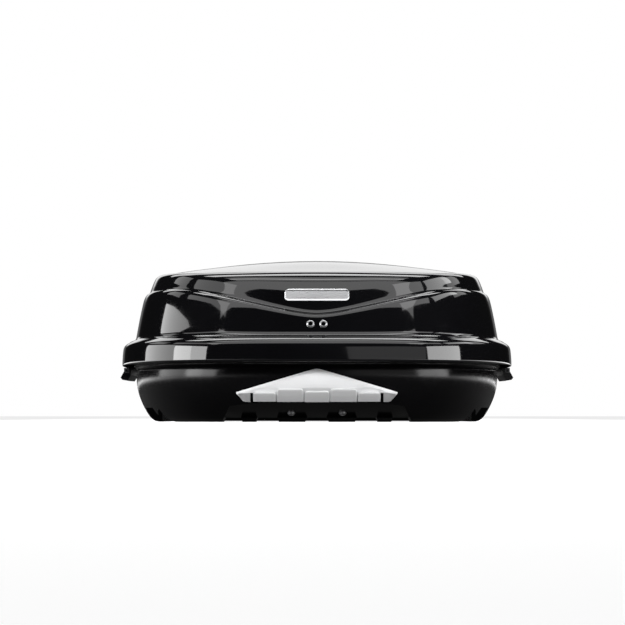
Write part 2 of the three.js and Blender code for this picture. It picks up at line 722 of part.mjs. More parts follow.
// ---------------------------------------------------------------- assembly
const group = new THREE.Group();
group.name = "roof_cargo_box";

function place(name, geometry, material) {
  const mesh = new THREE.Mesh(geometry, material);
  mesh.name = name;
  group.add(mesh);
}

// The same piece on both sides of the box.
function placePair(name, geometry, material) {
  place(`${name}_right`, geometry, material());
  place(`${name}_left`, mirrored(geometry), material());
}

place("base_shell", baseShell(), satinBlack());
place("edge_seal", edgeSeal(), rubber());
place("lid_shell", lidShell(), glossBlack());
place("badge_plate", badgePlate(), chrome());
place("diffuser_insert", diffuserInsert(), silverPaint());
for (const [end, side] of [["left", -1], ["right", 1]]) {
  place(`lid_screw_${end}`, lidScrew(side), chrome());
  place(`diffuser_screw_${end}`, diffuserScrew(side), chrome());
  place(`floor_rail_${end}`, floorRail(side * CLAMP_X), zinc());
  for (const [at, y] of Object.entries(CLAMPS)) {
    const x = side * CLAMP_X;
    place(`clamp_housing_${end}_${at}`, clampHousing(x, y), matteBlack());
    place(`clamp_knob_${end}_${at}`, clampKnob(x, y), satinBlack());
    place(`clamp_spindle_${end}_${at}`, clampSpindle(x, y), zinc());
    place(`fixed_claw_${end}_${at}`, fixedClaw(x, y), zinc());
    place(`moving_claw_${end}_${at}`, movingClaw(x, y), zinc());
  }
}
for (const [at, y] of Object.entries(LATCHES)) placePair(`latch_post_${at}`, latchPost(y), zinc);
for (const [at, y] of Object.entries(ROD_GUIDES)) placePair(`rod_guide_${at}`, rodGuide(y), matteBlack);
placePair("latch_rod", latchRod(), zinc);
placePair("handle_bracket", handleBracket(), matteBlack);
placePair("pull_handle", pullHandle(), satinBlack);
placePair("lock_barrel", lockBarrel(), chrome);
for (const [at, y] of Object.entries(LIFTER_ARMS)) {
  place(`lifter_arm_${at}`, lifterArm(y), zinc());
  place(`lifter_base_bracket_${at}`, mirrored(lifterBaseBracket(y)), zinc());
  place(`lifter_lid_bracket_${at}`, lifterLidBracket(y), zinc());
}

export default group;
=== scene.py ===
"""Looks of the roof cargo box: smooth shells, a painted tail insert, fittings and a plain studio.

The form follows the CAD part. Sizes are in millimetres in the part's frame (+Z up, +Y to the nose) until
new_mesh() turns them into metres.
"""
import json
import math

import bmesh
import bpy
import numpy as np
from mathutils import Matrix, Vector


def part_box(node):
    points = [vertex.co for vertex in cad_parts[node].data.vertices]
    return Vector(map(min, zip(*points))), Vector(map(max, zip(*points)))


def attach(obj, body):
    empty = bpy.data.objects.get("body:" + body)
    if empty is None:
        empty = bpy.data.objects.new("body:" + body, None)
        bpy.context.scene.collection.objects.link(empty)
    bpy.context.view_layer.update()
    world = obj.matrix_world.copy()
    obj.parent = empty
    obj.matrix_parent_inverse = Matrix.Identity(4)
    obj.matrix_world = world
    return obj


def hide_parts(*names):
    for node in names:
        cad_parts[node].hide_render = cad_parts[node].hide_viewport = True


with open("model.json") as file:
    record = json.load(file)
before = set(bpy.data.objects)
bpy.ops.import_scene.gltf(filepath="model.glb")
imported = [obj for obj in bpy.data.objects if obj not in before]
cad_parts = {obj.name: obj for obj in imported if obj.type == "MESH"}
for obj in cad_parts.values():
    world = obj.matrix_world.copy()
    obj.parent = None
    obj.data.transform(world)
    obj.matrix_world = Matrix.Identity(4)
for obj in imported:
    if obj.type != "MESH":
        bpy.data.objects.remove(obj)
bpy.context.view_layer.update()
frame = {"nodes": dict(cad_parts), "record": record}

MM = 0.001

# ---------------------------------------------------------------- driving dimensions
LID_LOW, LID_HIGH = (np.array(corner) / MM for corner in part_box("lid_shell"))
HALF_WIDTH = LID_HIGH[0]
TAIL_Y, NOSE_Y = LID_LOW[1], LID_HIGH[1]
WIDEST_Y = 40
REAR_REACH, FRONT_REACH = WIDEST_Y - TAIL_Y, NOSE_Y - WIDEST_Y
REAR_SQUARENESS, FRONT_SQUARENESS = 3.5, 2.5
BASE_INSET = 34
LID_FRONT_SLOPE, BASE_FRONT_SLOPE = 2.4, 3.2
OUTLINE_STEPS = 320
WALL_FOOT = 190
FORM_INSET = 60
SKIN = 4
SPINE_SHARE = 0.65
LIP_TOP = 132


# ---------------------------------------------------------------- form
def station_curve(stations):
    """A smooth curve through (y, value) stations."""
    at = np.array([s[0] for s in stations], float)
    value = np.array([s[1] for s in stations], float)
    lower = np.maximum(np.arange(len(at)) - 1, 0)
    upper = np.minimum(np.arange(len(at)) + 1, len(at) - 1)
    slope = (value[upper] - value[lower]) / (at[upper] - at[lower])

    def curve(y):
        held = np.clip(y, at[0], at[-1])
        i = np.clip(np.searchsorted(at, held) - 1, 0, len(at) - 2)
        span = at[i + 1] - at[i]
        t = (held - at[i]) / span
        turn = t * t * (3 - 2 * t)
        bend = (1 - t) * slope[i] - t * slope[i + 1]
        return value[i] + turn * (value[i + 1] - value[i]) + span * t * (1 - t) * bend

    return curve


shoulder_side = station_curve([(-960, 284), (-460, 286), (40, 284), (500, 256), (960, 202)])
roof_edge = station_curve([(-960, 313), (-460, 331), (40, 339), (500, 308), (960, 226)])
roof_rise = station_curve([(-960, 3), (-460, 27), (40, 39), (500, 33), (960, 6)])
CREASE_FOOT, CREASE_ROUND, CREASE_SLOPE, CREASE_EASE = 213, 11, 0.25, 8


def shoulder(x, y):
    """Height of the shoulder's crease, which dips to a soft V in the middle of the tail."""
    side = shoulder_side(y)
    valley = CREASE_FOOT + np.hypot(CREASE_ROUND, CREASE_SLOPE * x)
    low = (side + valley - np.hypot(side - valley, CREASE_EASE)) / 2
    return np.where(y > WIDEST_Y, side, low)


ANGLES = 2 * np.pi * (np.arange(OUTLINE_STEPS) + 0.5) / OUTLINE_STEPS


def plan(inset, front_slope):
    """The outline of the box this far inside the rim, as x and y arrays round the box."""
    c, s = np.cos(ANGLES), np.sin(ANGLES)
    rear = s < 0
    n = np.where(rear, REAR_SQUARENESS, FRONT_SQUARENESS)
    r = (np.abs(c) ** n + np.abs(s) ** n) ** (-1 / n)
    nose_inset = inset + np.maximum(0, inset - BASE_INSET) * (front_slope - 1)
    reach = np.where(rear, REAR_REACH - inset, FRONT_REACH - nose_inset)
    return (HALF_WIDTH - inset) * c * r, WIDEST_Y + reach * s * r


def ring(inset, z, front_slope):
    x, y = plan(inset, front_slope)
    return np.stack([x, y, np.broadcast_to(z, x.shape)], axis=1)


def inward(edge, shares, height):
    """Rings that shrink from an edge ring to the centre line, where the share is 0."""
    rings = []
    for share in shares:
        y = WIDEST_Y + (edge[:, 1] - WIDEST_Y) * (SPINE_SHARE + (1 - SPINE_SHARE) * share)
        rings.append(np.stack([edge[:, 0] * share, y, height(y, share)], axis=1))
    return rings


# ---------------------------------------------------------------- mesh helpers
def new_mesh(name, points, faces, smooth_angle=40):
    """A mesh object from points in millimetres. Doubled points are joined, and sharp edges stay sharp."""
    mesh = bpy.data.meshes.new(name)
    mesh.from_pydata([tuple(p) for p in np.asarray(points, float) * MM], [], faces)
    bm = bmesh.new()
    bm.from_mesh(mesh)
    bmesh.ops.remove_doubles(bm, verts=bm.verts, dist=1e-6)
    bmesh.ops.dissolve_degenerate(bm, edges=bm.edges, dist=1e-7)
    bmesh.ops.recalc_face_normals(bm, faces=bm.faces)
    bm.to_mesh(mesh)
    bm.free()
    piece = bpy.data.objects.new(name, mesh)
    bpy.context.scene.collection.objects.link(piece)
    smooth(piece, smooth_angle)
    return piece


def smooth(piece, angle):
    for polygon in piece.data.polygons:
        polygon.use_smooth = True
    piece.data.set_sharp_from_angle(angle=math.radians(angle))


def lofted(name, rings, closed=False, smooth_angle=40):
    """Joins rings of points into one surface."""
    count = len(rings[0])
    faces = []
    pairs = len(rings) if closed else len(rings) - 1
    for r in range(pairs):
        low, high = r * count, ((r + 1) % len(rings)) * count
        for i in range(count):
            j = (i + 1) % count
            faces.append((low + i, low + j, high + j, high + i))
    return new_mesh(name, np.concatenate(rings), faces, smooth_angle)


def prism(name, outline, axis, low, high):
    """A closed prism: the outline lies across the axis, in the order of the other two axes."""
    others = [a for a in range(3) if a != axis]
    count = len(outline)
    points = np.zeros((2 * count, 3))
    for end, at in enumerate((low, high)):
        block = points[end * count : (end + 1) * count]
        block[:, axis] = at
        block[:, others[0]] = [p[0] for p in outline]
        block[:, others[1]] = [p[1] for p in outline]
    faces = [tuple(range(count)), tuple(range(count, 2 * count))[::-1]]
    faces += [(i, (i + 1) % count, count + (i + 1) % count, count + i) for i in range(count)]
    return new_mesh(name, points, faces)


def bevel(piece, width, segments=2, angle=30):
    """Rounds the edges sharper than the angle; width in millimetres."""
    mod = piece.modifiers.new("rounded_edges", "BEVEL")
    mod.width = width * MM
    mod.segments = segments
    mod.limit_method = "ANGLE"
    mod.angle_limit = math.radians(angle)
    mod.harden_normals = False
    return piece


def baked(piece):
    """Applies the piece's modifiers."""
    depsgraph = bpy.context.evaluated_depsgraph_get()
    mesh = bpy.data.meshes.new_from_object(piece.evaluated_get(depsgraph))
    piece.modifiers.clear()
    piece.data = mesh
    return piece


def combine(piece, tools, operation):
    """Cuts the tools from the piece or adds them to it, and removes the tools."""
    for tool in tools:
        mod = piece.modifiers.new("combine", "BOOLEAN")
        mod.operation = operation
        mod.solver = "EXACT"
        mod.object = tool
        baked(piece)
        bpy.data.objects.remove(tool)
    return piece


def fit_out(piece, body, nodes, material):
    """Gives a finished piece its body, the CAD nodes it stands for and its material."""
    piece.data.materials.clear()
    piece.data.materials.append(material)
    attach(piece, body)
    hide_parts(*nodes)
    return piece


# ---------------------------------------------------------------- materials
class Nodes:
    """A short way to build a material's node tree."""

    def __init__(self, name, **shader_values):
        self.material = bpy.data.materials.new(name)
        self.material.use_nodes = True
        self.tree = self.material.node_tree
        self.shader = self.tree.nodes["Principled BSDF"]
        for socket, value in shader_values.items():
            self.shader.inputs[socket.replace("_", " ")].default_value = value
        self.place = self.tree.nodes.new("ShaderNodeTexCoord").outputs["Object"]

    def link(self, output, socket):
        self.tree.links.new(output, self.shader.inputs[socket])

    def noise(self, scale, detail=3.0, stretch=(1, 1, 1)):
        mapping = self.tree.nodes.new("ShaderNodeMapping")
        mapping.inputs["Scale"].default_value = stretch
        self.tree.links.new(self.place, mapping.inputs["Vector"])
        node = self.tree.nodes.new("ShaderNodeTexNoise")
        node.inputs["Scale"].default_value = scale
        node.inputs["Detail"].default_value = detail
        self.tree.links.new(mapping.outputs["Vector"], node.inputs["Vector"])
        return node.outputs["Fac"]

    def cells(self, scale):
        node = self.tree.nodes.new("ShaderNodeTexVoronoi")
        node.inputs["Scale"].default_value = scale
        self.tree.links.new(self.place, node.inputs["Vector"])
        return node.outputs["Distance"]

    def spread(self, value, low, high, start=0.3, end=0.7):
        """Maps a 0 to 1 value to low to high."""
        node = self.tree.nodes.new("ShaderNodeMapRange")
        node.inputs["From Min"].default_value = start
        node.inputs["From Max"].default_value = end
        node.inputs["To Min"].default_value = low
        node.inputs["To Max"].default_value = high
        self.tree.links.new(value, node.inputs["Value"])
        return node.outputs["Result"]

    def tones(self, value, first, second, start=0.35, end=0.65):
        node = self.tree.nodes.new("ShaderNodeValToRGB")
        ramp = node.color_ramp
        ramp.elements[0].position, ramp.elements[1].position = start, end
        ramp.elements[0].color, ramp.elements[1].color = (*first, 1), (*second, 1)
        self.tree.links.new(value, node.inputs["Fac"])
        return node.outputs["Color"]

    def edges(self, inner, outer):
        """Where the surface turns sharply, from 0 on flats to 1 on edges."""
        node = self.tree.nodes.new("ShaderNodeNewGeometry")
        return self.spread(node.outputs["Pointiness"], 0, 1, inner, outer)

    def mixed(self, factor, first, second):
        node = self.tree.nodes.new("ShaderNodeMix")
        node.data_type = "RGBA"
        self.tree.links.new(factor, node.inputs["Factor"])
        for value, socket in ((first, node.inputs[6]), (second, node.inputs[7])):
            if isinstance(value, tuple):
                socket.default_value = (*value, 1)
            else:
                self.tree.links.new(value, socket)
        return node.outputs[2]

    def bump(self, *layers):
        """Stacks (height, distance in metres, strength) layers into the shader's normal."""
        normal = None
        for height, distance, strength in layers:
            node = self.tree.nodes.new("ShaderNodeBump")
            node.inputs["Distance"].default_value = distance
            node.inputs["Strength"].default_value = strength
            self.tree.links.new(height, node.inputs["Height"])
            if normal:
                self.tree.links.new(normal, node.inputs["Normal"])
            normal = node.outputs["Normal"]
        self.link(normal, "Normal")


def gloss_black():
    """Thermoformed gloss cap layer: near-black, a long soft orange peel and a trace of dust in the sheen."""
    n = Nodes("gloss_black_shell", Coat_Weight=0.6, Coat_Roughness=0.02, IOR=1.5)
    haze = n.noise(3.0, 4)
    n.link(n.tones(haze, (0.0022, 0.0022, 0.0026), (0.0042, 0.0042, 0.005)), "Base Color")
    n.link(n.spread(n.noise(55, 5), 0.045, 0.075), "Roughness")
    n.bump((n.noise(24, 2), 0.0004, 0.03), (n.noise(160, 1), 0.00008, 0.04))
    return n.material


def satin_black():
    """Base shell: the same black, less polished, with a fine moulded grain."""
    n = Nodes("satin_black_shell", IOR=1.49, Specular_IOR_Level=0.32)
    n.link(n.tones(n.noise(5, 4), (0.0022, 0.0022, 0.0026), (0.0045, 0.0045, 0.005)), "Base Color")
    n.link(n.spread(n.noise(70, 5), 0.14, 0.2), "Roughness")
    n.bump((n.cells(900), 0.00005, 0.18), (n.noise(30, 2), 0.0003, 0.04))
    return n.material


def silver_paint():
    """Silver paint with fine metal flake under a clear coat."""
    n = Nodes("silver_paint", Metallic=0.1, Coat_Weight=0.5, Coat_Roughness=0.08, IOR=1.5)
    flake = n.cells(2600)
    n.link(n.tones(flake, (0.93, 0.935, 0.94), (0.84, 0.845, 0.855), 0.1, 0.9), "Base Color")
    n.link(n.spread(n.noise(90, 4), 0.3, 0.4), "Roughness")
    n.bump((flake, 0.00003, 0.12), (n.noise(40, 2), 0.0002, 0.03))
    return n.material


def moulded(name, tone, rough, grain):
    """Moulded plastic with a leather-fine grain and slightly paler edges."""
    n = Nodes(name, IOR=1.47)
    darker = tuple(0.7 * c for c in tone)
    body = n.tones(n.noise(12, 4), darker, tone)
    n.link(n.mixed(n.edges(0.52, 0.6), body, tuple(2.2 * c + 0.004 for c in tone)), "Base Color")
    n.link(n.spread(n.noise(120, 4), rough - 0.06, rough + 0.06), "Roughness")
    n.bump((n.cells(grain), 0.0001, 0.35), (n.noise(60, 2), 0.0002, 0.05))
    return n.material


def rubber_black():
    n = Nodes("rubber_black", IOR=1.5, Specular_IOR_Level=0.35)
    n.link(n.tones(n.noise(18, 5), (0.006, 0.006, 0.006), (0.014, 0.014, 0.014)), "Base Color")
    n.link(n.spread(n.noise(150, 4), 0.62, 0.85), "Roughness")
    n.bump((n.noise(420, 3), 0.0001, 0.3))
    return n.material


def zinc_steel():
    """Zinc-plated sheet: pale spangle, drawn lines along the part and duller worn patches."""
    n = Nodes("zinc_steel", Metallic=1.0)
    n.link(n.tones(n.cells(160), (0.52, 0.53, 0.54), (0.68, 0.69, 0.7), 0.1, 0.8), "Base Color")
    n.link(n.spread(n.noise(35, 5), 0.26, 0.44), "Roughness")
    n.bump((n.noise(60, 3, (12, 0.6, 12)), 0.00008, 0.25), (n.cells(160), 0.00004, 0.1))
    return n.material


def bright_chrome():
    """Plated trim, brushed very finely across its length."""
    n = Nodes("bright_chrome", Metallic=1.0)
    n.link(n.tones(n.noise(20, 4), (0.78, 0.785, 0.8), (0.88, 0.885, 0.9)), "Base Color")
    n.link(n.spread(n.noise(80, 4, (1, 14, 14)), 0.26, 0.38), "Roughness")
    n.bump((n.noise(200, 2, (0.6, 14, 14)), 0.00003, 0.15))
    return n.material


def screw_steel():
    """Plated screws, their tone and sheen varying faintly."""
    n = Nodes("screw_steel", Metallic=1.0)
    n.link(n.tones(n.noise(60, 4), (0.5, 0.505, 0.515), (0.66, 0.665, 0.675)), "Base Color")
    n.link(n.spread(n.noise(140, 4), 0.3, 0.42), "Roughness")
    n.bump((n.noise(500, 2), 0.00002, 0.2))
    return n.material


MATERIALS = {
    "gloss_black": gloss_black(),
    "satin_black": satin_black(),
    "matte_black": moulded("matte_black_plastic", (0.014, 0.014, 0.015), 0.5, 1400),
    "silver_paint": silver_paint(),
    "rubber_black": rubber_black(),
    "zinc_steel": zinc_steel(),
    "bright_chrome": bright_chrome(),
    "screw_steel": screw_steel(),
}

# ---------------------------------------------------------------- lid
# Each row of the rim is (inset, height): the rolled bottom edge, the face, the rounded top, the ledge
# and the fine groove at the foot of the wall.
RIM_OUTSIDE = [
    (3.4, 125.0), (1.6, 125.0), (0.5, 125.5), (0.0, 126.8), (0.0, 131.0), (0.3, 138.0), (0.9, 148.0),
    (1.6, 156.0), (2.4, 162.0), (3.6, 166.0), (5.6, 169.2), (9.0, 172.2), (13.8, 175.2), (20.0, 178.0),
    (27.0, 179.8), (31.4, 180.4), (32.7, 181.1), (33.2, 181.8), (34.2, 183.3), (35.2, 184.9), (35.8, 186.0),
    (36.3, 187.6), (36.8, 189.8),
]
RIM_INSIDE = [
    (3.4, 125.0), (4.0, 126.0), (4.0, 142.0), (8.0, 157.0), (16.0, 170.0), (30.0, 178.5), (39.5, 187.0),
]

# Rows of the crease are (offset, height above it) in the middle of the tail and on the sides.
CREASE_ROWS = [
    ((37.0, -15.0), (37.0, -22.0)),
    ((37.0, -7.0), (37.4, -12.0)),
    ((37.2, -3.6), (38.4, -6.6)),
    ((38.0, -1.4), (40.0, -2.8)),
    ((39.6, 0.2), (42.4, -0.6)),
    ((42.6, 2.0), (44.6, 0.6)),
    ((44.2, 3.0), (45.6, 1.0)),
    ((44.9, 3.0), (46.0, 0.8)),
    ((45.5, 3.8), (46.4, 1.6)),
    ((46.6, 5.0), (46.8, 3.2)),
    ((47.2, 6.6), (47.0, 5.2)),
    ((47.5, 8.6), (47.2, 8.0)),
    ((47.6, 13.0), (47.4, 12.0)),
]
# Rows of the upper wall are (offset, share of the way up to the roof's edge) in the middle and on the sides:
# the wall rolls over slowly in the middle of the tail and stays upright to a tight edge on the sides.
EDGE_ROWS = [
    ((47.3, 0.12), (47.9, 0.12)),
    ((47.1, 0.24), (48.4, 0.25)),
    ((46.9, 0.36), (48.9, 0.37)),
    ((46.9, 0.47), (49.5, 0.48)),
    ((47.3, 0.55), (50.2, 0.58)),
    ((48.1, 0.63), (51.2, 0.68)),
    ((49.3, 0.71), (53.0, 0.77)),
    ((51.2, 0.79), (56.5, 0.85)),
    ((54.2, 0.86), (61.0, 0.91)),
    ((58.4, 0.92), (67.0, 0.95)),
    ((63.8, 0.97), (74.0, 0.98)),
    ((72.0, 1.01), (82.0, 1.00)),
]
BODY_SHARES = [0.15, 0.35, 0.55, 0.78]
CREASE_SIDE_X = 300
SIDE_OUT = 5.6  # the wall stands this much nearer the rim on the sides than in the middle of the tail
SIDE_OUT_FROM, SIDE_OUT_RUN = 14, 16  # the rim's top takes that up over these insets
WALL_OFFSET = 37.0
WALL_LEAN, WALL_BARREL = 0.158, 0.00045
CREASE_INSIDE = [((41.5, -13), (41.5, -13)), ((48, -4), (47, -5)), ((57, 5), (57, 5))]
EDGE_INSIDE = [((56, 0.6), (58, 0.6)), ((76, 0.93), (82, 0.9))]
ROOF_SHARES = [0.985, 0.96, 0.92, 0.86, 0.78, 0.69, 0.59, 0.48, 0.36, 0.24, 0.12, 0.0]
ROOF_EASE = 0.8  # the roof leaves the wall's edge outside this share of its width


def sideness():
    """How much each point of the outline belongs to the sides, from 0 in the middle of the tail to 1."""
    x, y = plan(np.full(OUTLINE_STEPS, FORM_INSET), LID_FRONT_SLOPE)
    return np.where(y > WIDEST_Y, 1.0, np.clip(np.abs(x) / CREASE_SIDE_X, 0, 1)) ** 2


def lean(z):
    """How far the lid's slightly barrelled wall leans in at a height."""
    up = z - WALL_FOOT
    return WALL_LEAN * up + WALL_BARREL * up**2


def wall_ring(offset, z):
    return ring(offset + lean(z) - SIDE_OUT * sideness(), z, LID_FRONT_SLOPE)


def rim_ring(inset, z):
    share = np.clip((inset - SIDE_OUT_FROM) / SIDE_OUT_RUN, 0, 1)
    return ring(inset - SIDE_OUT * sideness() * share, z, LID_FRONT_SLOPE)


def lid_wall(body_shares, crease_rows, edge_rows):
    """Rings of the wall from its foot over the crease to the edge of the roof."""
    x, y = plan(np.full(OUTLINE_STEPS, FORM_INSET), LID_FRONT_SLOPE)
    crease, edge = shoulder(x, y), roof_edge(y)

    def between(middle, outer):
        return middle + (outer - middle) * sideness()

    rows = [(between(m, o), crease + between(up_m, up_o)) for (m, up_m), (o, up_o) in crease_rows]
    foot, top = rows[0][1], rows[-1][1]
    body = [wall_ring(WALL_OFFSET, WALL_FOOT + share * (foot - WALL_FOOT)) for share in body_shares]
    upper = [
        wall_ring(between(m, o), top + (edge - top) * between(share_m, share_o))
        for (m, share_m), (o, share_o) in edge_rows
    ]
    return body + [wall_ring(*row) for row in rows] + upper


def roof(edge_ring, drop):
    """Rings of the roof from the wall's edge to the middle line, lowered by drop."""
    start = edge_ring[:, 2] - roof_edge(edge_ring[:, 1])

    def height(y, share):
        ease = np.clip((share - ROOF_EASE) / (1 - ROOF_EASE), 0, 1) ** 2
        return roof_edge(y) + roof_rise(y) * (1 - share**2) + ease * (start + drop) - drop

    return inward(edge_ring, ROOF_SHARES, height)


def lid_outside():
    rings = [rim_ring(inset, z) for inset, z in RIM_OUTSIDE]
    rings += lid_wall(BODY_SHARES, CREASE_ROWS, EDGE_ROWS)
    return rings + roof(rings[-1], 0)


def lid_inside():
    rings = [ring(inset, z, LID_FRONT_SLOPE) for inset, z in RIM_INSIDE]
    rings += lid_wall([], CREASE_INSIDE, EDGE_INSIDE)
    return rings + roof(rings[-1], SKIN)


def build_lid():
    lid = lofted("lid_cover", [*lid_inside()[::-1], *lid_outside()], smooth_angle=50)
    fit_out(lid, "lid", ["lid_shell"], MATERIALS["gloss_black"])


build_lid()


# ---------------------------------------------------------------- base
# Rows of the tub and of its inside are (inset, height) from the floor up.
BASE_OUTSIDE = [
    (90.0, 0.0), (80.0, 0.3), (73.0, 2.2), (67.0, 6.2), (62.0, 11.6), (57.6, 18.0), (53.6, 24.6),
    (49.8, 31.4), (46.2, 38.6), (43.0, 46.0), (39.8, 54.0), (37.2, 62.0), (35.2, 70.0), (33.6, 78.0),
    (32.6, 86.0), (32.0, 94.0), (32.0, 102.0), (32.4, 108.0), (33.2, 113.0), (34.4, 117.0), (35.4, 119.4),
]
BASE_LIP = [(34.8, 120.4), (31.0, 121.0), (28.6, 121.2), (28.0, 121.8), (28.0, 131.2), (28.6, LIP_TOP)]
BASE_INSIDE = [
    (96.0, 16.0), (82.0, 16.4), (73.0, 18.4), (66.0, 22.6), (60.0, 28.4), (54.0, 37.6), (49.0, 48.0),
    (44.6, 60.0), (41.2, 72.0), (39.0, 84.0), (38.0, 96.0), (38.4, 106.0), (38.6, 112.0), (39.4, 118.0),
    (38.6, 121.0), (35.0, 124.4), (32.4, 126.4), (32.0, 128.0),
]
NOSE_LIFT, NOSE_LIFT_TOP = 60, 108
NOSE_LIFT_FROM, NOSE_LIFT_TO = 470, 1000  # y over which the floor rises to the nose
TUNNEL = {"z": 31, "rear": -690, "front": 370, "lean": 22, "half": 345, "bar_slot": 75, "under": -9}
RUNNER = {"x": 210, "width": 30, "z": 27, "root_z": 32, "flare": 2}
POCKET = {"y": -60, "half": 146, "x": 390, "low": 62, "high": 116}
RAMP = {"foot_y": -830, "foot_z": 9, "slope": 0.384, "back_y": -1010, "side_slope": 0.5}
RAMP_EDGE = {"half": 169, "z": 61, "under": -5.0}
CHANNEL_UNDER, TOOL_OVERLAP = -3, 5
CHANNELS = [(0, 20, 27), (105, 21, 26), (-105, 21, 26), (178, 18, 22), (-178, 18, 22)]
CLAMP_X, CLAMP_YS = 300, (-560, 240)
CLAMP_HOLE = {"z_low": 20, "z_high": 50, "radius": 5}
ROOM_TOP = (32.0, 152.0)  # the cut for the inside goes on above the lip
PAST_SIDE = 470  # x of the ends of tools that cut through the tub's side


def lifted(z, y):
    """Height z of a row of the tub, raised towards the nose."""
    ease = np.clip((y - NOSE_LIFT_FROM) / (NOSE_LIFT_TO - NOSE_LIFT_FROM), 0, 1)
    return z + NOSE_LIFT * ease**2 * (3 - 2 * ease) * np.maximum(0, 1 - z / NOSE_LIFT_TOP)


def base_body(name, rows):
    x, y = plan(np.full(OUTLINE_STEPS, FORM_INSET), BASE_FRONT_SLOPE)
    rings = [ring(inset, lifted(z, y), BASE_FRONT_SLOPE) for inset, z in rows]
    floor_z, top_z = rows[0][1], rows[-1][1]
    bottom = inward(rings[0], [0, 0.2, 0.4, 0.6, 0.8, 0.93], lambda y, share: lifted(floor_z, y))
    top = inward(rings[-1], [0], lambda y, share: np.full_like(y, top_z))
    return lofted(name, [*bottom, *rings, *top])


def tunnel_tools(z, spread):
    """The recess under the floor, and the slots through the tub's sides that the load bars cross. The two
    slots reach unlike distances past the sides, so that none of the tools' faces lie in one plane."""
    lean, slot = TUNNEL["lean"], TUNNEL["bar_slot"]
    recesses = [(TUNNEL["rear"], TUNNEL["front"], TUNNEL["half"] + spread)]
    recesses += [(y - slot, y + slot, PAST_SIDE + y / 100) for y in CLAMP_YS]
    tools = []
    for rear, front, half in recesses:
        rear, front = rear - spread, front + spread
        outline = [(rear - lean, TUNNEL["under"]), (front + lean, TUNNEL["under"]), (front, z), (rear, z)]
        tool = prism("tunnel_tool", outline, 0, -half, half)
        tools.append(baked(bevel(tool, width=5, segments=3, angle=60)))
    return tools


def pocket_tool(side, thickness):
    low, high = POCKET["low"] - thickness, POCKET["high"] + thickness
    x = POCKET["x"] - thickness
    outline = [(x, low + 18), (x + 5, low + 5), (x + 18, low), (PAST_SIDE, low), (PAST_SIDE, high)]
    outline += [(x + 4, high), (x, high - 4)]
    outline = [(side * u, v) for u, v in outline]
    reach = POCKET["half"] + thickness
    tool = prism("pocket_tool", outline, 1, POCKET["y"] - reach, POCKET["y"] + reach)
    return baked(bevel(tool, width=9, segments=4, angle=60))


def ramp_tool(rise, widen):
    foot_y, slope = RAMP["foot_y"], RAMP["slope"]
    under = RAMP_EDGE["under"]
    corners = [(RAMP["back_y"], under), (foot_y, under), (foot_y, RAMP["foot_z"] + rise)]
    corners.append((RAMP["back_y"], RAMP["foot_z"] + rise + slope * (foot_y - RAMP["back_y"])))
    points = []
    for side in (-1, 1):
        for y, z in corners:
            half = RAMP_EDGE["half"] + (RAMP_EDGE["z"] - z) * RAMP["side_slope"] + widen
            points.append((side * half, y, z))
    faces = [(0, 1, 2, 3), (7, 6, 5, 4)] + [(i, (i + 1) % 4, 4 + (i + 1) % 4, 4 + i) for i in range(4)]
    return new_mesh("ramp_tool", points, faces)


def channel_tool(x, top, bottom):
    low, high = CHANNEL_UNDER, RAMP["foot_z"]
    outline = [(x - bottom, low), (x + bottom, low), (x + top, high), (x - top, high)]
    return prism("channel_tool", outline, 1, RAMP["foot_y"] - TOOL_OVERLAP, TUNNEL["rear"] + TOOL_OVERLAP)


def round_tool(x, y, z_low, z_high, radius, sides=32):
    outline = [
        (x + radius * math.cos(2 * math.pi * i / sides), y + radius * math.sin(2 * math.pi * i / sides))
        for i in range(sides)
    ]
    return prism("round_tool", outline, 2, z_low, z_high)


def build_base():
    base = base_body("base_tub", BASE_OUTSIDE + BASE_LIP)
    tools = [*tunnel_tools(TUNNEL["z"], 0), ramp_tool(0, 0)]
    tools += [pocket_tool(side, 0) for side in (-1, 1)]
    tools += [channel_tool(*channel) for channel in CHANNELS]
    combine(base, tools, "DIFFERENCE")
    room = base_body("base_room", [*BASE_INSIDE, ROOM_TOP])
    tools = [*tunnel_tools(TUNNEL["z"] + SKIN, SKIN), ramp_tool(SKIN + 1, SKIN)]
    tools += [pocket_tool(side, SKIN) for side in (-1, 1)]
    combine(room, tools, "DIFFERENCE")
    combine(base, [room], "DIFFERENCE")
    runners = []
    for side in (-1, 1):
        low, high = (side * RUNNER["x"] + half * RUNNER["width"] / 2 for half in (-1, 1))
        flare, root_z = RUNNER["flare"], RUNNER["root_z"]
        outline = [(low, RUNNER["z"]), (high, RUNNER["z"]), (high + flare, root_z), (low - flare, root_z)]
        rear, front = TUNNEL["rear"] + TOOL_OVERLAP, TUNNEL["front"] - TOOL_OVERLAP
        runners.append(prism("runner", outline, 1, rear, front))
    combine(base, runners, "UNION")
    holes = [round_tool(side * CLAMP_X, y, **CLAMP_HOLE) for side in (-1, 1) for y in CLAMP_YS]
    combine(base, holes, "DIFFERENCE")
    smooth(base, 32)
    fit_out(base, "base", ["base_shell"], MATERIALS["satin_black"])


def build_seal():
    profile = [
        (26.4, 122.6), (25.9, 124.4), (26.6, 126.2), (25.9, 128.0), (26.6, 129.8), (26.0, 131.6),
        (26.0, 133.6), (27.4, 135.4), (30.0, 136.0), (32.6, 135.4), (34.0, 133.6), (34.0, 129.0),
        (33.4, 128.0), (32.4, 128.4), (32.3, 132.3), (27.7, 132.3), (27.6, 122.4), (27.0, 122.0),
    ]
    rings = [ring(inset, z, BASE_FRONT_SLOPE) for inset, z in profile]
    seal = lofted("lip_seal", rings, closed=True)
    fit_out(seal, "base", ["edge_seal"], MATERIALS["rubber_black"])


build_base()
build_seal()

